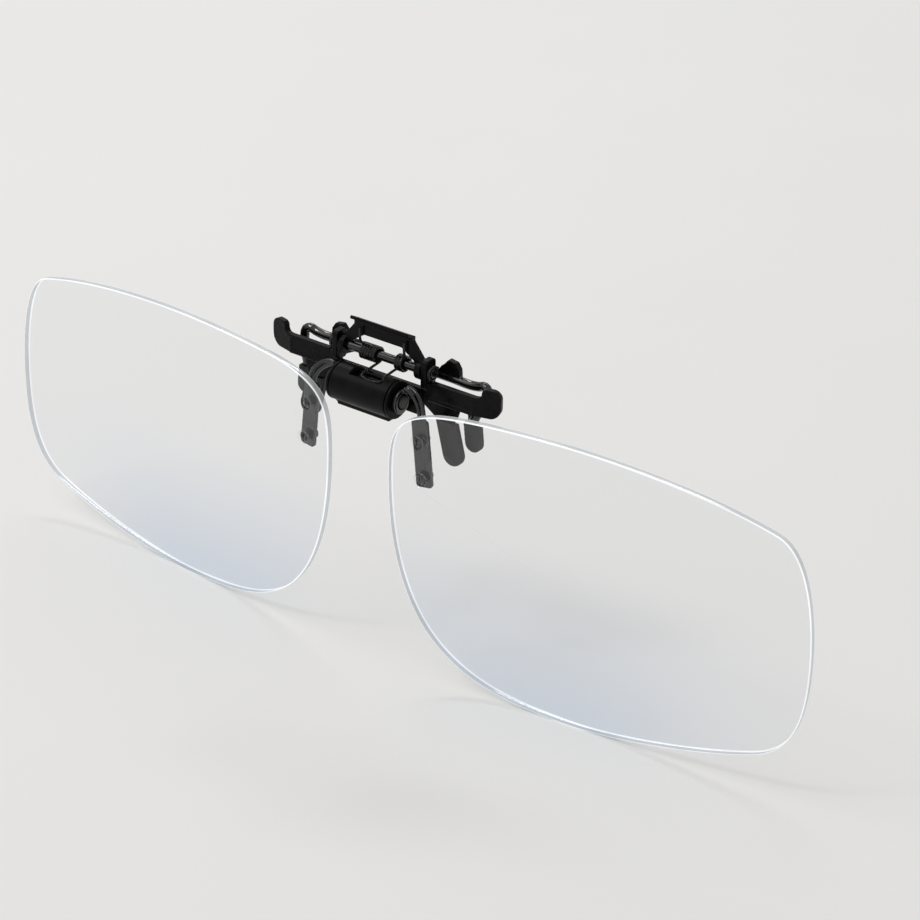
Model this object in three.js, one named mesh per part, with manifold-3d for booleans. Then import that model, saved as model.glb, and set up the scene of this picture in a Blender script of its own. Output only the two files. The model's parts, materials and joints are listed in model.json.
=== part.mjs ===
// A flip-up lens set that clips on a pair of spectacles: two rimless lenses on a spring clip.
// A fixed bracket carries the hinge barrel and the front claws. The lenses swing up about the
// barrel. A spring-loaded lever behind the bracket carries the rear claws and the pinch tab.
//
// Millimetres. +X is the wearer's left, +Y points back to the ears, +Z is up.
// The origin is the centre of the barrel's flat underside.
// Paired pieces are drawn once on the +X side and mirrored for the other side.

import * as THREE from "three";
import { mergeVertices } from "three/addons/utils/BufferGeometryUtils.js";
import Module from "manifold-3d";

const wasm = await Module();
wasm.setup();

// Fits
const SEAT_GAP = 0.15; // between pieces that are fastened together
const RUNNING_GAP = 0.06; // between a turning pin and its hole
const SEAM = 0.03; // how far two joined shapes reach into each other
const OVERSHOOT = 1; // how far a cutting shape runs past what it cuts

// Lenses: flat plates, each turned back a little towards the temple
const LENS_THICKNESS = 1.1;
const LENS_WRAP = THREE.MathUtils.degToRad(5.3);
const LENS_PLANE_Y = -2.8;
const LENS_MID_Z = -17;
// Outline as bezier knots: across, up, heading in degrees, reach in, reach out
const LENS_KNOTS = [
  [5.4, 9.7, 90, 5.8, 6.9],
  [12.8, 20.4, 14, 6.2, 3.3],
  [33, 21.7, 0, 8.9, 8.4],
  [65.4, 17.7, -17, 10, 5],
  [71.4, 0, -90, 6.5, 7.3],
  [64, -16.5, -160, 6.8, 8.3],
  [34.5, -21.6, 178, 8.2, 7.9],
  [14, -15.9, 140, 7.3, 10.4],
];
const LENS_CURVE_STEPS = 20; // points along each stretch of the outline
const LENS_HOLE_RADIUS = 0.6;
const COUNTERBORE = { radius: 1, depth: 0.75 }; // a screw's head sits below the lens's face

// Strap and screws that hold each lens, measured across and up the lens
const STRAP_TOP = [9.7, 18.6];
const STRAP_FOOT = [10.7, 8.4];
const STRAP_HALF_WIDTH = 1.3;
const STRAP_CORNER = 0.5;
const STRAP_THICKNESS = 0.6;
const STRAP_GAP = 0.05; // between the lens's back and the strap
const SCREW_SPOTS = { upper: [9.95, 15.6], lower: [10.55, 10] };
const SCREW_SHANK_RADIUS = 0.42;
const SCREW_HEAD_RADIUS = 0.86;
const SCREW_HEAD_HEIGHT = 0.45;
const SCREW_TAIL = 0.1; // how far a shank stands out behind its nut
// Domed face of a screw's head: share of the head's radius, and depth behind its crown
const SCREW_DOME = [
  [0, 0],
  [0.5, 0.04],
  [0.85, 0.14],
  [1, 0.3],
];
const SCREW_SLOT = { width: 0.26, depth: 0.2 };
const NUT_RADIUS = 0.9;
const NUT_THICKNESS = 0.6;

// Hinge barrel, with its axis along X
const BARREL_Z = 3.2;
const BARREL_RADIUS = 2.8;
const BARREL_BORE = 2.05;
const BARREL_END = 4.85;
const BARREL_BACK = 2.5;
const BASE_FRONT = -1.1;
const BASE_END = 4.6;
const CAP_END = 5.4;
const CAP_PLUG_DEPTH = 1;
const NOTCH = { left: 3.3, right: -2.2, front: -1.5, floor: 4.85 };
const LEAF_SLOT = { left: -0.6, right: -2.2, front: 0.6, floor: 4 };
// Bent leaf that presses on the roller's flats, in Y and Z
const LEAF_OUTLINE = [
  [2.55, 4.1],
  [2.55, 4.35],
  [2, 4.55],
  [1.05, 5.2],
  [0.75, 5.2],
  [0.8, 5],
  [1.75, 4.35],
  [2.2, 4.1],
];

// Roller that turns in the barrel and carries both lens arms
const ROLLER_RADIUS = 1.75;
const ROLLER_END = 3.7;
const ROLLER_FLAT = 1.6; // from the axis to each flat
const ROLLER_FLAT_END = 3;
const JOURNAL_RADIUS = 1;
const JOURNAL_END = 6.3;

// Lens arms: a hub on the roller's journal and two wires that arch over to the strap
const HUB_RADIUS = 1.85;
const HUB_NEAR = 5.55;
const HUB_FAR = 6.2;
const ARM_WIRE_RADIUS = 0.31;
const ARM_WIRE_FACETS = { steps: 14, sides: 10 };
const ARM_WIRES = [
  [
    [5.9, 0, 3.9],
    [5.95, 0.1, 4.75],
    [6.35, 0.2, 5.15],
    [7.2, 0.2, 4.8],
    [8.2, 0.05, 4.1],
    [9, -0.15, 3.1],
    [9.3, -0.33, 2.2],
    [9.36, -0.36, 1.1],
  ],
  [
    [5.9, 0.6, 3.9],
    [6, 0.65, 4.8],
    [6.6, 0.65, 5.3],
    [7.4, 0.55, 5.25],
    [8.35, 0.35, 4.9],
    [9.3, 0, 4.1],
    [9.95, -0.25, 2.9],
    [10.12, -0.33, 1.1],
  ],
];

// Front bracket, a pressed sheet behind the barrel
const SHEET = 0.9;
const BRACKET_FRONT = 2.7;
const BRACKET_BACK = BRACKET_FRONT + SHEET;
const CROSSBAR_END = 16.3; // where each end bends back into its horn
const CROSSBAR_FOOT = 3.05;
const CROSSBAR_TOP = 5.9;
const CROSSBAR_STEP_END = 9.1; // the top is lower inboard of this, under the shaft's ends
const CROSSBAR_STEP_TOP = 5.6;
const CENTRE_END = 7.35;
const CENTRE_FOOT = 0.3;
const CENTRE_TOP = 4.5;
const CROSSBAR_RIB = { near: 8.6, proud: 0.2, top: 3.7, corner: 0.2 }; // along the front of its foot
const FLANGE_END = 13.5;
const FLANGE_FOOT = 0.9; // the front claw's core hangs from here
const FLANGE_OUTLINE = [
  [CENTRE_END, CROSSBAR_FOOT + 0.1],
  [CENTRE_END, 2.7],
  [7.9, 2.2],
  [9.8, FLANGE_FOOT],
  [13, FLANGE_FOOT],
  [FLANGE_END, 2.5],
  [FLANGE_END, CROSSBAR_FOOT + 0.1],
];
// Horn: the crossbar's end, bent back and turned up into a round-topped hook
const HORN_BEND = THREE.MathUtils.degToRad(14);
const HORN = { length: 4.05, width: 2.9, top: 7.4, foot: 1.8, outer: 1.3, inner: 0.75, fillet: 0.65 };
const SHAFT_EAR = { near: 7.4, far: 8.35, front: 2.3, back: 4.7, top: 9, corner: 0.7 };

// Claws: a metal core inside a soft sleeve. Both are round-ended bars between two centres, in X and
// Z, and share a mid-plane in Y
const FRONT_CLAW = {
  sleeve: { top: [11.5, 0.9], tip: [12.8, -4.2], radius: 1.65 },
  core: { top: [11.5, 0.9], tip: [12.7, -3.8], radius: 1 },
  pocketTop: [11, 2.9],
  middle: (BRACKET_FRONT + BRACKET_BACK) / 2,
};
const REAR_CLAW = {
  sleeve: { top: [14.7, 1], tip: [15.05, -2.3], radius: 1.35 },
  core: { top: [14.7, 1.8], tip: [15.05, -2], radius: 0.8 },
  pocketTop: [14.7, 4],
  middle: 4.9,
};
const CLAW_CORE_THICKNESS = 0.4;
const SLEEVE_THICKNESS = 1;
const SLEEVE_MOUTH = 0.6; // height of each sleeve's open top
const SLEEVE_GAP = 0.1;

// Cross shaft that the lever turns on
const SHAFT_Y = 3.5;
const SHAFT_Z = 7;
const SHAFT_RADIUS = 0.68;
const SHAFT_END = 8.9;
const RETAINER_RADIUS = 1.15;
const RETAINER_NEAR = 8.5;

// Lever: pinch tab above the shaft, rear arms and claws behind and below it
const LEVER_HUB_RADIUS = 1.4;
const LEVER_LEG_NEAR = 6.3;
const LEVER_LEG_FAR = 7.25;
const TAB_FRONT = 3.3;
const TAB_BACK = TAB_FRONT + SHEET;
const TAB_TOP = 11.4;
const TAB_TOP_HALF_WIDTH = 4.6;
const TAB_WINDOW_TOP = 9.4;
const TAB_WINDOW_TOP_HALF_WIDTH = 3.3;
const TAB_WINDOW_FOOT = 8;
const TAB_WINDOW_FOOT_HALF_WIDTH = 5.4;
const LIP_HALF_WIDTH = 5.1;
// Thumb lip folded forward along the tab's top, in Y and Z
const LIP_OUTLINE = [
  [TAB_BACK, TAB_TOP - 0.6],
  [TAB_BACK, TAB_TOP],
  [2.5, 12.3],
  [2.3, 11.85],
  [TAB_FRONT, TAB_TOP - 0.1],
  [TAB_FRONT, TAB_TOP - 0.6],
];
const REAR_ARM_FRONT = 6.05;
const REAR_ARM_BACK = REAR_ARM_FRONT + SHEET;
const REAR_ARM_Z = 5.55;
const REAR_ARM_RADIUS = 0.7;
const REAR_ARM_FACETS = { steps: 40, sides: 12 };
// The rear arm's rod: outwards, up over its end and down behind the crossbar to the claw
const REAR_ARM_PATH = [
  [6.8, 6.4, 5.55],
  [10, 6.45, 5.5],
  [13, 6.45, 5.4],
  [14.5, 6.45, 5.6],
  [15.5, 6.4, 5.9],
  [16.2, 6.2, 5.55],
  [16.2, 5.9, 4.6],
  [15.8, 5.45, 3.2],
  [15.2, 5.05, 1.9],
  [14.8, 4.9, 0.9],
];
// Lug on the rear arm, in X and Z
const LUG_OUTLINE = [
  [7.7, REAR_ARM_Z],
  [11.4, REAR_ARM_Z],
  [11.3, 7.2],
  [10.7, 8.1],
  [9.4, 8.3],
  [8.7, 7.5],
  [8.2, 7.1],
  [7.7, 6.4],
];

// Double torsion spring on the shaft
const SPRING_WIRE_RADIUS = 0.21;
const SPRING_WIRE_FACETS = { steps: 190, sides: 8 };
const SPRING_COIL_RADIUS = 1.06;
const SPRING_LEFT_COIL = { near: 2.5, far: 4.1, turns: 3 };
const SPRING_RIGHT_COIL = { near: -0.7, far: -3.7, turns: 6 };
const SPRING_TAB_LEG = [
  [2.95, 8.7],
  [2.9, 10.6],
];
const SPRING_BARREL_LEG = [
  [1.4, 5.75],
  [-0.6, 5.3],
];

// Rivets that hold the barrel to the bracket
const RIVET_X = 3.2;
const RIVET_Z = 0.8;
const RIVET_RADIUS = 0.4;
const RIVET_HEAD = { radius: 0.8, crownRadius: 0.64, edge: 0.3, height: 0.42 };
const RIVET_TIP = 1.2;

// ---- Finishes -------------------------------------------------------------------------------

const finishes = {
  lens: { color: 0xdfe8f5, roughness: 0.05, metalness: 0, transparent: true, opacity: 0.35 },
  blackMetal: { color: 0x0c0c0d, roughness: 0.4, metalness: 0.7 },
  blackPlastic: { color: 0x101011, roughness: 0.45, metalness: 0 },
  softSleeve: { color: 0x2b2c2e, roughness: 0.8, metalness: 0 },
  blackSteel: { color: 0x18181a, roughness: 0.3, metalness: 0.9 },
};

// ---- Solid helpers --------------------------------------------------------------------------

function solid(geometry) {
  const bare = geometry.clone();
  bare.deleteAttribute("normal");
  bare.deleteAttribute("uv");
  const merged = mergeVertices(bare, 1e-4);
  const vertProperties = new Float32Array(merged.attributes.position.array);
  const triVerts = new Uint32Array(merged.index.array);
  return new wasm.Manifold(new wasm.Mesh({ numProp: 3, vertProperties, triVerts }));
}

function geometryOf(made) {
  const mesh = made.getMesh();
  const geometry = new THREE.BufferGeometry();
  geometry.setAttribute("position", new THREE.BufferAttribute(mesh.vertProperties, 3));
  geometry.setIndex(new THREE.BufferAttribute(mesh.triVerts, 1));
  geometry.computeVertexNormals();
  return geometry;
}

function join(...pieces) {
  return geometryOf(pieces.map(solid).reduce((sum, piece) => sum.add(piece)));
}

function cut(body, ...tools) {
  return geometryOf(tools.map(solid).reduce((rest, tool) => rest.subtract(tool), solid(body)));
}

function mirrored(geometry) {
  const copy = geometry.clone().scale(-1, 1, 1);
  const index = copy.index.array;
  for (let i = 0; i < index.length; i += 3) {
    const first = index[i];
    index[i] = index[i + 1];
    index[i + 1] = first;
  }
  return copy;
}

// ---- Shape helpers --------------------------------------------------------------------------

function block(x0, x1, y0, y1, z0, z1) {
  const box = new THREE.BoxGeometry(x1 - x0, y1 - y0, z1 - z0);
  return box.translate((x0 + x1) / 2, (y0 + y1) / 2, (z0 + z1) / 2);
}

// A shape drawn in X and Z, extruded in Y
function slab(shape, y0, y1, curveSegments = 8) {
  const options = { depth: y1 - y0, bevelEnabled: false, curveSegments };
  const made = new THREE.ExtrudeGeometry(shape, options);
  return made.rotateX(Math.PI / 2).translate(0, y1, 0);
}

// A shape drawn in Y and Z, extruded in X
function rail(shape, x0, x1, curveSegments = 8) {
  const options = { depth: x1 - x0, bevelEnabled: false, curveSegments };
  const made = new THREE.ExtrudeGeometry(shape, options);
  const turn = new THREE.Matrix4().makeBasis(
    new THREE.Vector3(0, 1, 0),
    new THREE.Vector3(0, 0, 1),
    new THREE.Vector3(1, 0, 0),
  );
  return made.applyMatrix4(turn).translate(x0, 0, 0);
}

// A shape drawn in X and Y, extruded up
function column(shape, z0, z1, curveSegments = 8) {
  const options = { depth: z1 - z0, bevelEnabled: false, curveSegments };
  return new THREE.ExtrudeGeometry(shape, options).translate(0, 0, z0);
}

function rodAlongX(radius, x0, x1, y, z, sides = 24) {
  const rod = new THREE.CylinderGeometry(radius, radius, x1 - x0, sides);
  return rod.rotateZ(Math.PI / 2).translate((x0 + x1) / 2, y, z);
}

function rodAlongY(radius, y0, y1, x, z, sides = 16) {
  const rod = new THREE.CylinderGeometry(radius, radius, y1 - y0, sides);
  return rod.translate(x, (y0 + y1) / 2, z);
}

function polygon(points) {
  return new THREE.Shape(points.map(([x, y]) => new THREE.Vector2(x, y)));
}

// Round-ended bar between two centres
function capsule([x0, y0], [x1, y1], radius) {
  const along = Math.atan2(y1 - y0, x1 - x0);
  const quarter = Math.PI / 2;
  const shape = new THREE.Shape();
  shape.absarc(x1, y1, radius, along - quarter, along + quarter, false);
  shape.absarc(x0, y0, radius, along + quarter, along + 3 * quarter, false);
  shape.closePath();
  return shape;
}

// Strap with rounded corners, between the middles of its two ends
function strap([x0, y0], [x1, y1], halfWidth, corner) {
  const length = Math.hypot(x1 - x0, y1 - y0);
  const outline = roundedRectangle(0, length, -halfWidth, halfWidth, corner);
  const along = Math.atan2(y1 - y0, x1 - x0);
  const origin = new THREE.Vector2();
  const start = new THREE.Vector2(x0, y0);
  const points = outline.getPoints(3).map((p) => p.rotateAround(origin, along).add(start));
  return new THREE.Shape(points);
}

function roundedRectangle(x0, x1, y0, y1, corner) {
  const quarter = Math.PI / 2;
  const shape = new THREE.Shape();
  shape.absarc(x1 - corner, y0 + corner, corner, -quarter, 0, false);
  shape.absarc(x1 - corner, y1 - corner, corner, 0, quarter, false);
  shape.absarc(x0 + corner, y1 - corner, corner, quarter, 2 * quarter, false);
  shape.absarc(x0 + corner, y0 + corner, corner, 2 * quarter, 3 * quarter, false);
  shape.closePath();
  return shape;
}

// Round wire along a curve, with closed ends
function wire(curve, radius, { steps, sides }) {
  const section = new THREE.Shape();
  section.absarc(0, 0, radius, 0, 2 * Math.PI, false);
  const options = { steps, extrudePath: curve, curveSegments: sides / 2 };
  return new THREE.ExtrudeGeometry(section, options);
}

// ---- Lenses and what holds them -------------------------------------------------------------

// Places a piece drawn on a lens (across, back from its front face, up) where that lens stands
function onLens(geometry) {
  return geometry.rotateZ(LENS_WRAP).translate(0, LENS_PLANE_Y, LENS_MID_Z);
}

function lensOutline() {
  const shape = new THREE.Shape();
  shape.moveTo(LENS_KNOTS[0][0], LENS_KNOTS[0][1]);
  LENS_KNOTS.forEach(([x0, y0, heading0, , reachOut], i) => {
    const [x1, y1, heading1, reachIn] = LENS_KNOTS[(i + 1) % LENS_KNOTS.length];
    const turn0 = THREE.MathUtils.degToRad(heading0);
    const turn1 = THREE.MathUtils.degToRad(heading1);
    shape.bezierCurveTo(
      x0 + reachOut * Math.cos(turn0),
      y0 + reachOut * Math.sin(turn0),
      x1 - reachIn * Math.cos(turn1),
      y1 - reachIn * Math.sin(turn1),
      x1,
      y1,
    );
  });
  return shape;
}

function lens() {
  const outline = lensOutline();
  for (const [across, up] of Object.values(SCREW_SPOTS)) {
    const hole = new THREE.Path();
    hole.absarc(across, up, LENS_HOLE_RADIUS, 0, 2 * Math.PI, false);
    outline.holes.push(hole);
  }
  const counterbores = Object.values(SCREW_SPOTS).map(([across, up]) =>
    rodAlongY(COUNTERBORE.radius, -OVERSHOOT, COUNTERBORE.depth, across, up, 24),
  );
  return onLens(cut(slab(outline, 0, LENS_THICKNESS, LENS_CURVE_STEPS), ...counterbores));
}

const strapFront = LENS_THICKNESS + STRAP_GAP;
const strapBack = strapFront + STRAP_THICKNESS;
const nutFront = strapBack + SEAT_GAP;
const nutBack = nutFront + NUT_THICKNESS;

function screw([across, up]) {
  const headBack = COUNTERBORE.depth - STRAP_GAP;
  const headFront = headBack - SCREW_HEAD_HEIGHT;
  const tip = nutBack + SCREW_TAIL;
  const profile = [
    ...SCREW_DOME.map(([share, depth]) => [SCREW_HEAD_RADIUS * share, headFront + depth]),
    [SCREW_HEAD_RADIUS, headBack],
    [SCREW_SHANK_RADIUS, headBack],
    [SCREW_SHANK_RADIUS, tip],
    [0, tip],
  ];
  const points = profile.map(([r, y]) => new THREE.Vector2(r, y));
  const body = new THREE.LatheGeometry(points, 18);
  const half = SCREW_SLOT.width / 2;
  const slotBack = headFront + SCREW_SLOT.depth;
  const reach = SCREW_HEAD_RADIUS + OVERSHOOT;
  const slot = block(-half, half, headFront - OVERSHOOT, slotBack, -reach, reach);
  return onLens(cut(body, slot).translate(across, 0, up));
}

function nut([across, up]) {
  const shape = new THREE.Shape();
  shape.absarc(across, up, NUT_RADIUS, 0, 2 * Math.PI, false);
  const hole = new THREE.Path();
  hole.absarc(across, up, SCREW_SHANK_RADIUS + SEAT_GAP, 0, 2 * Math.PI, true);
  shape.holes.push(hole);
  return onLens(slab(shape, nutFront, nutBack, 6));
}

function lensArm() {
  const plate = slab(strap(STRAP_TOP, STRAP_FOOT, STRAP_HALF_WIDTH, STRAP_CORNER), strapFront, strapBack);
  const holeRadius = SCREW_SHANK_RADIUS + SEAT_GAP;
  const holes = Object.values(SCREW_SPOTS).map(([across, up]) =>
    onLens(rodAlongY(holeRadius, strapFront - OVERSHOOT, strapBack + OVERSHOOT, across, up)),
  );
  const wires = ARM_WIRES.map((points) => {
    const curve = new THREE.CatmullRomCurve3(points.map((p) => new THREE.Vector3(...p)));
    return wire(curve, ARM_WIRE_RADIUS, ARM_WIRE_FACETS);
  });
  const hub = rodAlongX(HUB_RADIUS, HUB_NEAR, HUB_FAR, 0, BARREL_Z);
  const boreRadius = JOURNAL_RADIUS + SEAT_GAP;
  const bore = rodAlongX(boreRadius, HUB_NEAR - OVERSHOOT, HUB_FAR + OVERSHOOT, 0, BARREL_Z);
  const arm = cut(join(hub, ...wires), bore);
  return cut(join(arm, onLens(plate)), ...holes);
}

// ---- Hinge barrel ---------------------------------------------------------------------------

function barrelHousing() {
  const backTop = Math.acos(BARREL_BACK / BARREL_RADIUS);
  const frontFoot = Math.PI + Math.acos(-BASE_FRONT / BARREL_RADIUS);
  const shape = new THREE.Shape();
  shape.moveTo(BASE_FRONT, 0);
  shape.lineTo(BARREL_BACK, 0);
  shape.absarc(0, BARREL_Z, BARREL_RADIUS, backTop, frontFoot, false);
  shape.closePath();
  const bore = new THREE.Path();
  bore.absarc(0, BARREL_Z, BARREL_BORE, 0, 2 * Math.PI, true);
  shape.holes.push(bore);
  const body = rail(shape, -BARREL_END, BARREL_END, 16);
  const past = BARREL_RADIUS + OVERSHOOT;
  const notches = [NOTCH, LEAF_SLOT].map(({ left, right, front, floor }) =>
    block(right, left, front, past, floor, BARREL_Z + past),
  );
  const underside = BARREL_Z - BARREL_RADIUS;
  const corner = block(
    BASE_END, BARREL_END + OVERSHOOT, BASE_FRONT - OVERSHOOT, past, -OVERSHOOT, underside,
  );
  const corners = [corner, mirrored(corner)];
  const rivetHoles = [-RIVET_X, RIVET_X].map((x) =>
    rodAlongY(RIVET_RADIUS + SEAT_GAP, RIVET_TIP - SEAT_GAP, past, x, RIVET_Z, 12),
  );
  return cut(body, ...notches, ...corners, ...rivetHoles);
}

function barrelCap() {
  const plug = rodAlongX(BARREL_BORE - SEAT_GAP, BARREL_END - CAP_PLUG_DEPTH, CAP_END, 0, BARREL_Z, 28);
  const flange = rodAlongX(BARREL_RADIUS, BARREL_END + SEAT_GAP, CAP_END, 0, BARREL_Z, 32);
  const past = CAP_END + OVERSHOOT;
  const bore = rodAlongX(JOURNAL_RADIUS + RUNNING_GAP, 0, past, 0, BARREL_Z);
  const behind = block(
    0, past, BARREL_BACK, BARREL_RADIUS + OVERSHOOT, -OVERSHOOT, BARREL_Z + BARREL_RADIUS,
  );
  return cut(join(plug, flange), bore, behind);
}

function flipRoller() {
  const drum = rodAlongX(ROLLER_RADIUS, -ROLLER_END, ROLLER_END, 0, BARREL_Z);
  const end = ROLLER_FLAT_END;
  const past = ROLLER_RADIUS + OVERSHOOT;
  const topFlat = block(-end, end, -past, past, BARREL_Z + ROLLER_FLAT, BARREL_Z + past);
  const frontFlat = block(-end, end, -past, -ROLLER_FLAT, BARREL_Z - past, BARREL_Z + past);
  const journals = rodAlongX(JOURNAL_RADIUS, -JOURNAL_END, JOURNAL_END, 0, BARREL_Z);
  return join(cut(drum, topFlat, frontFlat), journals);
}

function detentSpring() {
  return rail(polygon(LEAF_OUTLINE), LEAF_SLOT.right + SEAT_GAP, LEAF_SLOT.left - SEAT_GAP);
}

function housingRivet() {
  const headFoot = BRACKET_BACK + SEAT_GAP;
  const profile = [
    [0, RIVET_TIP],
    [RIVET_RADIUS, RIVET_TIP],
    [RIVET_RADIUS, headFoot],
    [RIVET_HEAD.radius, headFoot],
    [RIVET_HEAD.crownRadius, headFoot + RIVET_HEAD.edge],
    [0, headFoot + RIVET_HEAD.height],
  ];
  const points = profile.map(([r, y]) => new THREE.Vector2(r, y));
  return new THREE.LatheGeometry(points, 14).translate(RIVET_X, 0, RIVET_Z);
}

// ---- Claws ----------------------------------------------------------------------------------

function clawCore({ core, middle }) {
  const half = CLAW_CORE_THICKNESS / 2;
  return slab(capsule(core.top, core.tip, core.radius), middle - half, middle + half);
}

// Soft sleeve with a pocket for the core, open at the top
function clawSleeve({ sleeve, core, pocketTop, middle }) {
  const half = SLEEVE_THICKNESS / 2;
  const front = middle - half;
  const back = middle + half;
  const past = sleeve.radius + OVERSHOOT;
  const [x, z] = sleeve.top;
  const above = block(x - past, x + past, front - OVERSHOOT, back + OVERSHOOT, SLEEVE_MOUTH, z + past);
  const pocketHalf = CLAW_CORE_THICKNESS / 2 + SLEEVE_GAP;
  const pocketShape = capsule(pocketTop, core.tip, core.radius + SLEEVE_GAP);
  const pocket = slab(pocketShape, middle - pocketHalf, middle + pocketHalf);
  return cut(slab(capsule(sleeve.top, sleeve.tip, sleeve.radius), front, back), above, pocket);
}

// ---- Front bracket --------------------------------------------------------------------------

// Drawn flat from the bend outwards, with a radius at each corner
function horn() {
  const { length, width, top, foot, outer, inner, fillet } = HORN;
  const quarter = Math.PI / 2;
  const root = length - width;
  const shape = new THREE.Shape();
  shape.moveTo(0, CROSSBAR_TOP);
  shape.lineTo(0, CROSSBAR_FOOT);
  shape.absarc(length - foot, CROSSBAR_FOOT + foot, foot, -quarter, 0, false);
  shape.absarc(length - outer, top - outer, outer, 0, quarter, false);
  shape.absarc(root + inner, top - inner, inner, quarter, 2 * quarter, false);
  shape.absarc(root - fillet, CROSSBAR_TOP + fillet, fillet, 0, -quarter, true);
  shape.closePath();
  return slab(shape, 0, SHEET).rotateZ(HORN_BEND).translate(CROSSBAR_END, BRACKET_FRONT, 0);
}

function bracketHalf() {
  const crossbar = slab(
    polygon([
      [CENTRE_END, CROSSBAR_FOOT],
      [CROSSBAR_END + SEAM, CROSSBAR_FOOT],
      [CROSSBAR_END + SEAM, CROSSBAR_TOP],
      [CROSSBAR_STEP_END, CROSSBAR_TOP],
      [CROSSBAR_STEP_END, CROSSBAR_STEP_TOP],
      [CENTRE_END, CROSSBAR_STEP_TOP],
    ]),
    BRACKET_FRONT,
    BRACKET_BACK,
  );
  const flange = slab(polygon(FLANGE_OUTLINE), BRACKET_FRONT, BRACKET_BACK);
  const rib = CROSSBAR_RIB;
  const ribShape = roundedRectangle(
    BRACKET_FRONT - rib.proud, BRACKET_FRONT + rib.corner, CROSSBAR_FOOT, rib.top, rib.corner,
  );
  const { near, far, front, back, top, corner } = SHAFT_EAR;
  const ear = rail(roundedRectangle(front, back, CENTRE_TOP, top, corner), near, far, 4);
  const foot = rail(ribShape, rib.near, CROSSBAR_END, 4);
  return join(crossbar, flange, foot, horn(), ear, clawCore(FRONT_CLAW));
}

function frontBracket() {
  const half = bracketHalf();
  const centre = block(
    -CENTRE_END, CENTRE_END, BRACKET_FRONT, BRACKET_BACK, CENTRE_FOOT, CENTRE_TOP,
  );
  const shaftHole = rodAlongX(SHAFT_RADIUS + SEAT_GAP, -SHAFT_END, SHAFT_END, SHAFT_Y, SHAFT_Z, 18);
  const rivetHoles = [-RIVET_X, RIVET_X].map((x) =>
    rodAlongY(
      RIVET_RADIUS + SEAT_GAP, BRACKET_FRONT - OVERSHOOT, BRACKET_BACK + OVERSHOOT, x, RIVET_Z, 12,
    ),
  );
  return cut(join(half, mirrored(half), centre), shaftHole, ...rivetHoles);
}

// ---- Lever ----------------------------------------------------------------------------------

function pinchTab() {
  const edge = (z) =>
    THREE.MathUtils.mapLinear(z, TAB_WINDOW_FOOT, TAB_TOP, LEVER_LEG_FAR, TAB_TOP_HALF_WIDTH);
  const outline = polygon([
    [-LEVER_LEG_FAR, SHAFT_Z],
    [LEVER_LEG_FAR, SHAFT_Z],
    [edge(TAB_WINDOW_FOOT), TAB_WINDOW_FOOT],
    [edge(TAB_TOP), TAB_TOP],
    [-edge(TAB_TOP), TAB_TOP],
    [-edge(TAB_WINDOW_FOOT), TAB_WINDOW_FOOT],
  ]);
  const window = polygon([
    [-LEVER_LEG_NEAR, SHAFT_Z - OVERSHOOT],
    [LEVER_LEG_NEAR, SHAFT_Z - OVERSHOOT],
    [TAB_WINDOW_FOOT_HALF_WIDTH, TAB_WINDOW_FOOT],
    [TAB_WINDOW_TOP_HALF_WIDTH, TAB_WINDOW_TOP],
    [-TAB_WINDOW_TOP_HALF_WIDTH, TAB_WINDOW_TOP],
    [-TAB_WINDOW_FOOT_HALF_WIDTH, TAB_WINDOW_FOOT],
  ]);
  const opening = slab(window, TAB_FRONT - OVERSHOOT, TAB_BACK + OVERSHOOT);
  const frame = cut(slab(outline, TAB_FRONT, TAB_BACK), opening);
  return join(frame, rail(polygon(LIP_OUTLINE), -LIP_HALF_WIDTH, LIP_HALF_WIDTH));
}

function rearArm() {
  const points = REAR_ARM_PATH.map((p) => new THREE.Vector3(...p));
  return wire(new THREE.CatmullRomCurve3(points), REAR_ARM_RADIUS, REAR_ARM_FACETS);
}

function leverHalf() {
  const hub = rodAlongX(LEVER_HUB_RADIUS, LEVER_LEG_NEAR, LEVER_LEG_FAR, SHAFT_Y, SHAFT_Z);
  const web = rail(
    polygon([
      [SHAFT_Y, SHAFT_Z - LEVER_HUB_RADIUS],
      [REAR_ARM_BACK, REAR_ARM_Z - REAR_ARM_RADIUS],
      [REAR_ARM_BACK, REAR_ARM_Z + REAR_ARM_RADIUS],
      [SHAFT_Y, SHAFT_Z + LEVER_HUB_RADIUS],
    ]),
    LEVER_LEG_NEAR,
    LEVER_LEG_FAR,
  );
  const lug = slab(polygon(LUG_OUTLINE), REAR_ARM_FRONT, REAR_ARM_BACK);
  return join(hub, web, rearArm(), lug, clawCore(REAR_CLAW));
}

function rearLever() {
  const half = leverHalf();
  const shaftHole = rodAlongX(SHAFT_RADIUS + RUNNING_GAP, -SHAFT_END, SHAFT_END, SHAFT_Y, SHAFT_Z);
  return cut(join(half, mirrored(half), pinchTab()), shaftHole);
}

// ---- Cross shaft and its spring -------------------------------------------------------------

function crossShaft() {
  return rodAlongX(SHAFT_RADIUS, -SHAFT_END, SHAFT_END, SHAFT_Y, SHAFT_Z);
}

function shaftRetainer() {
  const ring = rodAlongX(RETAINER_RADIUS, RETAINER_NEAR, SHAFT_END, SHAFT_Y, SHAFT_Z, 18);
  const bore = rodAlongX(SHAFT_RADIUS + SEAT_GAP, 0, SHAFT_END + OVERSHOOT, SHAFT_Y, SHAFT_Z);
  return cut(ring, bore);
}

// Coil points from its barrel leg (underneath) to its tab leg (on top)
function coilPoints({ near, far, turns }) {
  const stepsPerTurn = 12;
  const count = Math.round((turns + 0.5) * stepsPerTurn);
  return Array.from({ length: count + 1 }, (_, i) => {
    const angle = -Math.PI / 2 + (i / stepsPerTurn) * 2 * Math.PI;
    return new THREE.Vector3(
      THREE.MathUtils.lerp(near, far, i / count),
      SHAFT_Y + SPRING_COIL_RADIUS * Math.cos(angle),
      SHAFT_Z + SPRING_COIL_RADIUS * Math.sin(angle),
    );
  });
}

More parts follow.
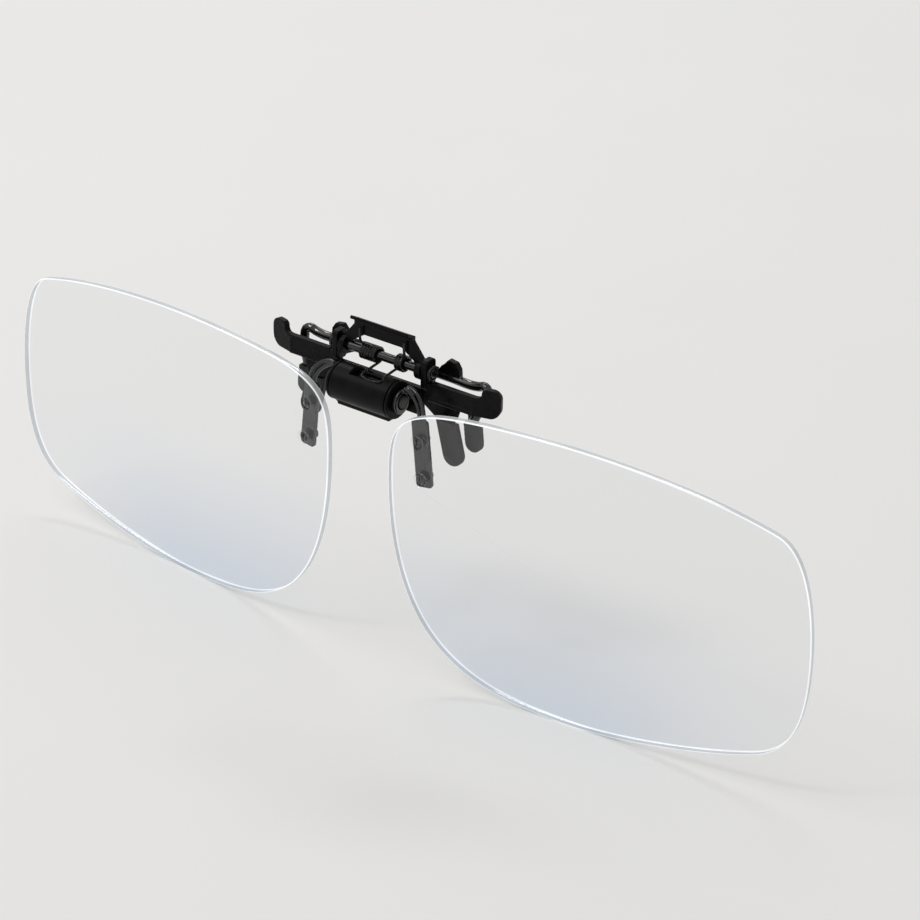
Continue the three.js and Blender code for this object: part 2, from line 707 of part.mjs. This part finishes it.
function clampSpring() {
  const legPoint = (x, [y, z]) => new THREE.Vector3(x, y, z);
  const tabLeg = (x) => SPRING_TAB_LEG.map((p) => legPoint(x, p));
  const barrelLeg = (x) => SPRING_BARREL_LEG.map((p) => legPoint(x, p));
  const leftCoil = coilPoints(SPRING_LEFT_COIL);
  const rightCoil = coilPoints(SPRING_RIGHT_COIL).reverse();
  const points = [
    ...tabLeg(SPRING_RIGHT_COIL.far).reverse(),
    ...rightCoil,
    ...barrelLeg(SPRING_RIGHT_COIL.near),
    ...barrelLeg(SPRING_LEFT_COIL.near).reverse(),
    ...leftCoil,
    ...tabLeg(SPRING_LEFT_COIL.far),
  ];
  const curve = new THREE.CatmullRomCurve3(points, false, "centripetal");
  return wire(curve, SPRING_WIRE_RADIUS, SPRING_WIRE_FACETS);
}

// ---- Assembly -------------------------------------------------------------------------------

const clip = new THREE.Group();

function place(name, geometry, finish) {
  const mesh = new THREE.Mesh(geometry, new THREE.MeshStandardMaterial(finishes[finish]));
  mesh.name = name;
  clip.add(mesh);
  return mesh;
}

// One piece on each side, from the +X one
function placePair(name, geometry, finish) {
  place("left_" + name, geometry, finish);
  place("right_" + name, geometry, finish).scale.x = -1;
}

placePair("lens", lens(), "lens");
placePair("lens_arm", lensArm(), "blackMetal");
for (const [spot, centre] of Object.entries(SCREW_SPOTS)) {
  placePair(spot + "_lens_screw", screw(centre), "blackSteel");
  placePair(spot + "_lens_nut", nut(centre), "blackSteel");
}
place("flip_roller", flipRoller(), "blackSteel");

place("barrel_housing", barrelHousing(), "blackPlastic");
placePair("barrel_cap", barrelCap(), "blackPlastic");
place("detent_spring", detentSpring(), "blackSteel");
placePair("housing_rivet", housingRivet(), "blackSteel");
place("front_bracket", frontBracket(), "blackMetal");
placePair("front_claw_sleeve", clawSleeve(FRONT_CLAW), "softSleeve");
place("cross_shaft", crossShaft(), "blackSteel");
placePair("shaft_retainer", shaftRetainer(), "blackSteel");
place("clamp_spring", clampSpring(), "blackSteel");

place("rear_lever", rearLever(), "blackMetal");
placePair("rear_claw_sleeve", clawSleeve(REAR_CLAW), "softSleeve");

export default clip;
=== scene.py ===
# Clear clip-on lenses on a black flip-up spring clip: the looks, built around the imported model.
# Metres. +X is the wearer's left, +Y points back to the ears, +Z is up.

import json
import math

import bmesh
import bpy
from mathutils import Matrix, Vector


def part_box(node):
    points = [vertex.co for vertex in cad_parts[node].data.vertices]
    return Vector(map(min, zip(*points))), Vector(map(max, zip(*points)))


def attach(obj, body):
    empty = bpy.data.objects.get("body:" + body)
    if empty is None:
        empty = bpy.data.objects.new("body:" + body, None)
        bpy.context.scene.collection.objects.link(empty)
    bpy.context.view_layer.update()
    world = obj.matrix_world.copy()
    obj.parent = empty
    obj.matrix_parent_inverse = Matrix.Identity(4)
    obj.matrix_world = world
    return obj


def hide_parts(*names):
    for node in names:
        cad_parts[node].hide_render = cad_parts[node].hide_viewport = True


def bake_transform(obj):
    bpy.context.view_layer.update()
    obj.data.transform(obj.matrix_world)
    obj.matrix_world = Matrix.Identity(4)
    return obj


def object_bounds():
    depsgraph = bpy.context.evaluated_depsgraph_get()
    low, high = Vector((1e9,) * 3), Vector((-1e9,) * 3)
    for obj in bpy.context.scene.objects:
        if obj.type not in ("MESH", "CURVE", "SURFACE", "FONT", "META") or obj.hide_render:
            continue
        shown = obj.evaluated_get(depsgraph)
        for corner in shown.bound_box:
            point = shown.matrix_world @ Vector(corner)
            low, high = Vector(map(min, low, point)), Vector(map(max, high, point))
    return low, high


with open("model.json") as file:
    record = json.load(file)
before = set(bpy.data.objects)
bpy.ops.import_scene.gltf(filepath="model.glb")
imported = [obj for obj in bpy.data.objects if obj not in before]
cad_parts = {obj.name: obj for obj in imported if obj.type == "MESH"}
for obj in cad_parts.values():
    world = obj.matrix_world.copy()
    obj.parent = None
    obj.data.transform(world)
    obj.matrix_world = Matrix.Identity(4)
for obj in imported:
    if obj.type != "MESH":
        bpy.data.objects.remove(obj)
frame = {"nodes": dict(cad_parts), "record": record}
cad_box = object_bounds()

MM = 0.001

# Camera
CAMERA_PLACE = Vector((233.9, -297.8, 190.2)) * MM
CAMERA_AZIMUTH = math.radians(36.17)
CAMERA_ELEVATION = math.radians(27.6)
CAMERA_ROLL = math.radians(1.1)
CAMERA_LENS = 118.15
SENSOR_WIDTH = 36
CLIP_START = 10 * MM

# How finely each finish's pieces are remeshed, and how many passes round their edges
REFINING = {
    "black_metal": (0.076 * MM, 5),
    "black_plastic": (0.07 * MM, 5),
    "black_steel": (0.045 * MM, 4),
    "soft_sleeve": (0.08 * MM, 8),
}
SMOOTH_SHARE = 0.5  # how far each pass moves a point towards its neighbours' middle

# Pieces of lacquered metal that are polished to a higher gloss
GLOSSY_NODES = ("left_lens_arm", "right_lens_arm", "cross_shaft")

# The rear lever is lacquered out to its legs and on its lugs, and its rods are glossy
LEVER_LEGS_END = 7.3 * MM
LUG_END = 11.6 * MM
LUG_FOOT = 6.25 * MM

# Lens edge
WELD_DISTANCE = 0.001 * MM
COPLANAR_LIMIT = math.radians(0.5)
RIM_ANGLE = math.radians(60)  # edges sharper than this are rounded
LENS_BEVEL = 0.16 * MM
BEVEL_SEGMENTS = 3
FLAT_FACE_LIMIT = 0.98  # a face that points this nearly straight out of the lens is its front or back
SQUARE_FACE_LIMIT = 0.1  # one that points less than this out of it is its edge's middle
RECESS_REACH = 1.9 * MM  # faces this near a screw's middle belong to its recess
EDGE_HAZE_SIZE = 9 * MM
EDGE_DARK = (0.7, 0.725, 0.75)
EDGE_LIGHT = (0.82, 0.84, 0.86)
EDGE_ROUGHNESS = (0.1, 0.2)
EDGE_COAT_ROUGHNESS = 0.08
EDGE_THROUGH = (0.5, 0.53, 0.56)
# Colour of the painted glow: emission on the lens edge standing in for internal reflection
EDGE_PAINTED_GLOW_COLOUR = (0.97, 0.985, 1.0)
# Strength of the edge's painted glow, and the share of the edge that is white rather than see-through
EDGE_PAINTED_GLOW_LOOK = dict(painted_glow=0.16, cover=(0.48, 0.58))
# The bevel's stronger glow and whiter share paint highlight lines along the edge's rounding
BEVEL_PAINTED_HIGHLIGHT_LOOK = dict(painted_glow=0.6, cover=(0.72, 0.86))

# Lens tint: per face passed, from clear at the upper height to blue at the lower one
LENS_CLEAR = (0.985, 0.988, 0.994)
LENS_BLUE = (0.93, 0.957, 0.995)
LENS_TINT_HEIGHTS = (-36 * MM, -12 * MM)
LENS_TINT_REACH = (38 * MM, 66 * MM)  # across, where the blue fades towards the temple
LENS_TINT_LEFT_AT_TEMPLE = 0.1
LENS_MIRROR_IOR = 1.7  # both faces' reflections at once
LENS_MIRROR_ROUGHNESS = 0.04

# Noise values between which each effect comes in
MOTTLE_BAND = (0.3, 0.7)
GLOSS_BAND = (0.25, 0.75)
WEAR_AND_EDGE_HIGHLIGHT_BAND = (0.42, 0.62)

# Stage
FLOOR_SIZE = 6
FLOOR_MOTTLE_SIZE = 60 * MM
FLOOR_DARK = (0.835, 0.83, 0.82)
FLOOR_LIGHT = (0.865, 0.86, 0.85)
FLOOR_ROUGHNESS = 0.85
FLOOR_SPECULAR = 0.2
SKY_COLOUR = (1.0, 0.995, 0.985)
SKY_STRENGTH = 0.6
# Each soft box's place, width, height and power; all are aimed at the origin
SOFT_BOXES = {
    "key": ((-0.35, -0.25, 0.75), 0.6, 0.6, 1.5),
    "spark": ((-0.25, -0.35, 0.6), 0.1, 0.1, 0.45),
    "back_strip": ((-0.36, 0.5, 0.64), 0.5, 0.1, 1.3),
}

body_of = {
    node: body
    for body, nodes in frame["record"]["behaviour"]["bodies"].items()
    for node in nodes
}
slot_of = {part["node"]: part["material_slot"] for part in frame["record"]["subparts"]}


# ---- Materials ------------------------------------------------------------------------------


def new_material(name):
    material = bpy.data.materials.new(name)
    material.use_nodes = True
    nodes = material.node_tree.nodes
    nodes.clear()
    output = nodes.new("ShaderNodeOutputMaterial")
    return material, nodes, material.node_tree.links, output


def noise(nodes, links, coordinates, size, detail=4.0):
    """Noise whose features are about `size` metres across."""
    texture = nodes.new("ShaderNodeTexNoise")
    texture.inputs["Scale"].default_value = 1.0 / size
    texture.inputs["Detail"].default_value = detail
    links.new(coordinates, texture.inputs["Vector"])
    return texture.outputs["Fac"]


def ramp(nodes, links, value, band, results):
    """Eases from the first result to the second as the value crosses the band."""
    node = nodes.new("ShaderNodeMapRange")
    node.interpolation_type = "SMOOTHSTEP"
    node.inputs["From Min"].default_value, node.inputs["From Max"].default_value = band
    node.inputs["To Min"].default_value, node.inputs["To Max"].default_value = results
    links.new(value, node.inputs["Value"])
    return node.outputs["Result"]


def mix_colour(nodes, links, factor, first, second):
    node = nodes.new("ShaderNodeMix")
    node.data_type = "RGBA"
    links.new(factor, node.inputs["Factor"])
    for socket, colour in ((node.inputs[6], first), (node.inputs[7], second)):
        if isinstance(colour, tuple):
            socket.default_value = (*colour, 1.0)
        else:
            links.new(colour, socket)
    return node.outputs[2]


def multiply(nodes, links, first, second):
    node = nodes.new("ShaderNodeMath")
    node.operation = "MULTIPLY"
    links.new(first, node.inputs[0])
    links.new(second, node.inputs[1])
    return node.outputs["Value"]


def show_mix(nodes, links, output, share, first, second):
    """Gives the surface a mix of two shaders, with this share of the second."""
    mix = nodes.new("ShaderNodeMixShader")
    links.new(share, mix.inputs["Fac"])
    links.new(first.outputs["BSDF"], mix.inputs[1])
    links.new(second.outputs["BSDF"], mix.inputs[2])
    links.new(mix.outputs["Shader"], output.inputs["Surface"])


def black_finish(name, look):
    """A dark finish with mottled colour and gloss, a fine grain, and lightened edges that paint both
    rubbed wear and an edge highlight.
    """
    material, nodes, links, output = new_material(name)
    place = nodes.new("ShaderNodeTexCoord").outputs["Object"]
    shader = nodes.new("ShaderNodeBsdfPrincipled")
    mottle = noise(nodes, links, place, look["mottle_size"])
    grain = noise(nodes, links, place, look["grain_size"], detail=2.0)
    mottled = ramp(nodes, links, mottle, MOTTLE_BAND, (0, 1))
    base = mix_colour(nodes, links, mottled, look["dark"], look["light"])
    # Convex edges are lightened: partly rubbed wear, partly a painted edge highlight
    edges = nodes.new("ShaderNodeNewGeometry").outputs["Pointiness"]
    raised = ramp(nodes, links, edges, look["wear_and_edge_highlight_band"], (0, 1))
    patches = noise(nodes, links, place, look["wear_and_edge_highlight_patch_size"])
    broken = ramp(nodes, links, patches, WEAR_AND_EDGE_HIGHLIGHT_BAND, (0, look["wear_and_edge_highlight_amount"]))
    wear_and_edge_highlight = multiply(nodes, links, raised, broken)
    links.new(mix_colour(nodes, links, wear_and_edge_highlight, base, look["bare"]), shader.inputs["Base Color"])
    links.new(ramp(nodes, links, mottle, GLOSS_BAND, look["roughness"]), shader.inputs["Roughness"])
    bump = nodes.new("ShaderNodeBump")
    bump.inputs["Strength"].default_value = look["bump"]
    bump.inputs["Distance"].default_value = look["bump_depth"]
    links.new(grain, bump.inputs["Height"])
    links.new(bump.outputs["Normal"], shader.inputs["Normal"])
    shader.inputs["Metallic"].default_value = look["metallic"]
    shader.inputs["Specular IOR Level"].default_value = look["specular"]
    links.new(shader.outputs["BSDF"], output.inputs["Surface"])
    return material


# Each finish's lighter edge colour, band and amount paint both rubbed wear and an edge highlight
LACQUER = dict(
    dark=(0.0022, 0.0022, 0.0024), light=(0.0045, 0.0045, 0.005), bare=(0.12, 0.12, 0.125),
    mottle_size=1.6 * MM, grain_size=0.16 * MM, wear_and_edge_highlight_patch_size=0.5 * MM,
    wear_and_edge_highlight_band=(0.56, 0.66), wear_and_edge_highlight_amount=0.3, roughness=(0.24, 0.36),
    bump=0.25, bump_depth=0.012 * MM, metallic=0.0, specular=0.1,
)
MOULDED = dict(
    dark=(0.0025, 0.0025, 0.0027), light=(0.005, 0.005, 0.0055), bare=(0.05, 0.05, 0.052),
    mottle_size=2.2 * MM, grain_size=0.1 * MM, wear_and_edge_highlight_patch_size=0.6 * MM,
    wear_and_edge_highlight_band=(0.56, 0.68), wear_and_edge_highlight_amount=0.2, roughness=(0.3, 0.42),
    bump=0.35, bump_depth=0.014 * MM, metallic=0.0, specular=0.09,
)
STEEL = dict(
    dark=(0.008, 0.008, 0.0085), light=(0.02, 0.02, 0.022), bare=(0.4, 0.4, 0.41),
    mottle_size=0.7 * MM, grain_size=0.12 * MM, wear_and_edge_highlight_patch_size=0.3 * MM,
    wear_and_edge_highlight_band=(0.55, 0.64), wear_and_edge_highlight_amount=0.5, roughness=(0.16, 0.28),
    bump=0.2, bump_depth=0.01 * MM, metallic=0.3, specular=0.4,
)
SCREW = dict(
    dark=(0.04, 0.04, 0.042), light=(0.12, 0.12, 0.125), bare=(0.8, 0.8, 0.81),
    mottle_size=0.5 * MM, grain_size=0.1 * MM, wear_and_edge_highlight_patch_size=0.25 * MM,
    wear_and_edge_highlight_band=(0.53, 0.6), wear_and_edge_highlight_amount=0.9, roughness=(0.1, 0.2),
    bump=0.2, bump_depth=0.008 * MM, metallic=0.85, specular=0.5,
)
ROD = dict(
    dark=(0.003, 0.003, 0.0032), light=(0.007, 0.007, 0.0075), bare=(0.35, 0.35, 0.36),
    mottle_size=1.2 * MM, grain_size=0.14 * MM, wear_and_edge_highlight_patch_size=0.4 * MM,
    wear_and_edge_highlight_band=(0.57, 0.66), wear_and_edge_highlight_amount=0.3, roughness=(0.06, 0.12),
    bump=0.12, bump_depth=0.008 * MM, metallic=0.0, specular=0.7,
)
RUBBER = dict(
    dark=(0.024, 0.0245, 0.025), light=(0.034, 0.0345, 0.0355), bare=(0.07, 0.07, 0.07),
    mottle_size=1.4 * MM, grain_size=0.09 * MM, wear_and_edge_highlight_patch_size=0.5 * MM,
    wear_and_edge_highlight_band=(0.55, 0.7), wear_and_edge_highlight_amount=0.3, roughness=(0.6, 0.76),
    bump=0.5, bump_depth=0.016 * MM, metallic=0.0, specular=0.25,
)


def clear_lens():
    """Clear polycarbonate that passes light, mirrors by Fresnel, and turns faintly blue low down."""
    material, nodes, links, output = new_material("clear_lens")
    place = nodes.new("ShaderNodeTexCoord").outputs["Object"]
    split = nodes.new("ShaderNodeSeparateXYZ")
    links.new(place, split.inputs["Vector"])
    low = ramp(nodes, links, split.outputs["Z"], LENS_TINT_HEIGHTS, (1, 0))
    across = nodes.new("ShaderNodeMath")
    across.operation = "ABSOLUTE"
    links.new(split.outputs["X"], across.inputs[0])
    kept = (1, LENS_TINT_LEFT_AT_TEMPLE)
    outwards = ramp(nodes, links, across.outputs["Value"], LENS_TINT_REACH, kept)
    tint = mix_colour(nodes, links, multiply(nodes, links, low, outwards), LENS_CLEAR, LENS_BLUE)
    through = nodes.new("ShaderNodeBsdfTransparent")
    links.new(tint, through.inputs["Color"])
    mirror = nodes.new("ShaderNodeBsdfGlossy")
    mirror.inputs["Roughness"].default_value = LENS_MIRROR_ROUGHNESS
    fresnel = nodes.new("ShaderNodeFresnel")
    fresnel.inputs["IOR"].default_value = LENS_MIRROR_IOR
    outside = nodes.new("ShaderNodeMath")
    outside.operation = "SUBTRACT"
    outside.inputs[0].default_value = 1.0
    links.new(nodes.new("ShaderNodeNewGeometry").outputs["Backfacing"], outside.inputs[1])
    share = multiply(nodes, links, fresnel.outputs["Fac"], outside.outputs["Value"])
    show_mix(nodes, links, output, share, through, mirror)
    return material


def lens_edge_painted_glow(name, look):
    """Polished lens edge: grey glass with a hazy gleam, and a painted glow: emission that stands in
    for light the lens gathers inside and lets out at its edge.
    """
    material, nodes, links, output = new_material(name)
    place = nodes.new("ShaderNodeTexCoord").outputs["Object"]
    haze = noise(nodes, links, place, EDGE_HAZE_SIZE, detail=1.0)
    shader = nodes.new("ShaderNodeBsdfPrincipled")
    links.new(mix_colour(nodes, links, haze, EDGE_DARK, EDGE_LIGHT), shader.inputs["Base Color"])
    links.new(ramp(nodes, links, haze, MOTTLE_BAND, EDGE_ROUGHNESS), shader.inputs["Roughness"])
    shader.inputs["Specular IOR Level"].default_value = 1.0
    shader.inputs["Coat Weight"].default_value = 1.0
    shader.inputs["Coat Roughness"].default_value = EDGE_COAT_ROUGHNESS
    # Painted glow: the edge emits light though it is no lamp
    shader.inputs["Emission Color"].default_value = (*EDGE_PAINTED_GLOW_COLOUR, 1)
    shader.inputs["Emission Strength"].default_value = look["painted_glow"]
    through = nodes.new("ShaderNodeBsdfTransparent")
    through.inputs["Color"].default_value = (*EDGE_THROUGH, 1)
    share = ramp(nodes, links, haze, MOTTLE_BAND, look["cover"])
    show_mix(nodes, links, output, share, through, shader)
    return material


# ---- Pieces ---------------------------------------------------------------------------------


def copy_of(node):
    piece = bpy.data.objects.new(node + "_refined", frame["nodes"][node].data.copy())
    bpy.context.scene.collection.objects.link(piece)
    piece.matrix_world = frame["nodes"][node].matrix_world.copy()
    return piece


def apply_modifiers(piece):
    graph = bpy.context.evaluated_depsgraph_get()
    made = bpy.data.meshes.new_from_object(piece.evaluated_get(graph))
    piece.modifiers.clear()
    piece.data = made


def set_material(piece, *materials):
    piece.data.materials.clear()
    for material in materials:
        piece.data.materials.append(material)


def stand_for(node):
    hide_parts(node)


def refined(node, material):
    """The CAD solid remeshed finely, with its edges and inner corners rounded."""
    voxel, passes = REFINING[slot_of[node]]
    piece = copy_of(node)
    remesh = piece.modifiers.new("remesh", "REMESH")
    remesh.mode = "VOXEL"
    remesh.voxel_size = voxel
    remesh.use_smooth_shade = True
    smooth = piece.modifiers.new("smooth", "SMOOTH")
    smooth.factor = SMOOTH_SHARE
    smooth.iterations = passes
    apply_modifiers(piece)
    set_material(piece, material)
    stand_for(node)
    return piece


def lacquer_lever(piece, lacquer):
    """The tab, legs and lugs of the rear lever are lacquered like the bracket."""
    piece.data.materials.append(lacquer)
    for face in piece.data.polygons:
        across = abs(face.center.x)
        is_lug = across < LUG_END and face.center.z > LUG_FOOT
        face.material_index = 1 if across < LEVER_LEGS_END or is_lug else 0


def centre_of(node):
    low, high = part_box(node)
    return (Vector(low) + Vector(high)) / 2


def refined_lens(node, clear, edge, bevel):
    """The CAD lens with a rounded, polished edge; its edge faces carry a painted glow and its bevel
    faces brighter painted highlight lines.
    """
    piece = copy_of(node)
    set_material(piece, clear, edge, bevel)
    shape = bmesh.new()
    shape.from_mesh(piece.data)
    bmesh.ops.remove_doubles(shape, verts=shape.verts, dist=WELD_DISTANCE)
    bmesh.ops.dissolve_limit(
        shape, angle_limit=COPLANAR_LIMIT, verts=shape.verts, edges=shape.edges, delimit=set(),
    )
    flat_way = max(shape.faces, key=lambda face: face.calc_area()).normal.copy()
    rim = [
        e for e in shape.edges
        if len(e.link_faces) == 2 and e.calc_face_angle() > RIM_ANGLE
    ]
    bmesh.ops.bevel(
        shape, geom=rim, offset=LENS_BEVEL, offset_type="OFFSET",
        segments=BEVEL_SEGMENTS, profile=0.5, affect="EDGES",
    )
    side = node.removesuffix("lens")
    screws = [
        centre_of(screw) for screw in slot_of
        if screw.startswith(side) and screw.endswith("lens_screw")
    ]
    for face in shape.faces:
        slant = abs(face.normal.dot(flat_way))
        is_flat = slant > FLAT_FACE_LIMIT
        middle = face.calc_center_median()
        is_recess = min((middle - screw).length for screw in screws) < RECESS_REACH
        if is_flat or is_recess:
            face.material_index = 0
        else:
            # Faces of the bevel's rounding take the material with painted highlight lines
            face.material_index = 1 if slant < SQUARE_FACE_LIMIT else 2
        face.smooth = not is_flat
    shape.to_mesh(piece.data)
    shape.free()
    stand_for(node)
    return piece


# ---- Stage ----------------------------------------------------------------------------------


def make_camera():
    back = Vector((
        math.sin(CAMERA_AZIMUTH) * math.cos(CAMERA_ELEVATION),
        -math.cos(CAMERA_AZIMUTH) * math.cos(CAMERA_ELEVATION),
        math.sin(CAMERA_ELEVATION),
    ))
    level = Vector((math.cos(CAMERA_AZIMUTH), math.sin(CAMERA_AZIMUTH), 0))
    upright = back.cross(level)
    right = level * math.cos(CAMERA_ROLL) + upright * math.sin(CAMERA_ROLL)
    up = back.cross(right)
    camera = bpy.data.objects.new("camera", bpy.data.cameras.new("camera"))
    camera.data.lens = CAMERA_LENS
    camera.data.sensor_width = SENSOR_WIDTH
    camera.data.clip_start = CLIP_START
    turn = Matrix((right, up, back)).transposed().to_4x4()
    camera.matrix_world = Matrix.Translation(CAMERA_PLACE) @ turn
    bpy.context.scene.collection.objects.link(camera)
    bpy.context.scene.camera = camera


def make_floor(height):
    bpy.ops.mesh.primitive_plane_add(size=FLOOR_SIZE, location=(0, 0, height))
    floor = bpy.context.object
    floor.name = "floor"
    material, nodes, links, output = new_material("floor_paper")
    place = nodes.new("ShaderNodeTexCoord").outputs["Object"]
    shader = nodes.new("ShaderNodeBsdfPrincipled")
    mottle = noise(nodes, links, place, FLOOR_MOTTLE_SIZE)
    links.new(mix_colour(nodes, links, mottle, FLOOR_DARK, FLOOR_LIGHT), shader.inputs["Base Color"])
    shader.inputs["Roughness"].default_value = FLOOR_ROUGHNESS
    shader.inputs["Specular IOR Level"].default_value = FLOOR_SPECULAR
    links.new(shader.outputs["BSDF"], output.inputs["Surface"])
    set_material(floor, material)


def soft_box(name, place, width, height, power):
    """An area light at this place, aimed at the origin."""
    light = bpy.data.lights.new(name, "AREA")
    light.shape = "RECTANGLE"
    light.size = width
    light.size_y = height
    light.energy = power
    lamp = bpy.data.objects.new(name, light)
    lamp.location = Vector(place)
    lamp.rotation_euler = (-Vector(place)).to_track_quat("-Z", "Y").to_euler()
    bpy.context.scene.collection.objects.link(lamp)


def make_lights():
    world = bpy.data.worlds.new("studio")
    world.use_nodes = True
    background = world.node_tree.nodes["Background"]
    background.inputs["Color"].default_value = (*SKY_COLOUR, 1)
    background.inputs["Strength"].default_value = SKY_STRENGTH
    bpy.context.scene.world = world
    for name, (place, width, height, power) in SOFT_BOXES.items():
        soft_box(name, place, width, height, power)
    bpy.context.scene.view_settings.view_transform = "Standard"


# ---- Assembly -------------------------------------------------------------------------------

make_camera()
make_floor(cad_box[0].z)
make_lights()

finishes = {
    "black_metal": black_finish("black_lacquer", LACQUER),
    "black_plastic": black_finish("moulded_black", MOULDED),
    "black_steel": black_finish("blackened_steel", STEEL),
    "soft_sleeve": black_finish("claw_rubber", RUBBER),
}
rod = black_finish("glossy_black_rod", ROD)
screw_steel = black_finish("polished_screw", SCREW)
clear = clear_lens()
edge = lens_edge_painted_glow("lens_edge_painted_glow", EDGE_PAINTED_GLOW_LOOK)
# This bevel material paints highlight lines with a stronger glow
bevel = lens_edge_painted_glow("lens_bevel_painted_highlight", BEVEL_PAINTED_HIGHLIGHT_LOOK)

for node, slot in slot_of.items():
    if slot == "lens":
        piece = refined_lens(node, clear, edge, bevel)
    elif node in GLOSSY_NODES:
        piece = refined(node, rod)
    elif node == "rear_lever":
        piece = refined(node, rod)
        lacquer_lever(piece, finishes["black_metal"])
    elif node.endswith("lens_screw"):
        piece = refined(node, screw_steel)
    else:
        piece = refined(node, finishes[slot])
    if node == "clamp_spring":
        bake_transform(piece)
    else:
        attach(piece, body_of[node])
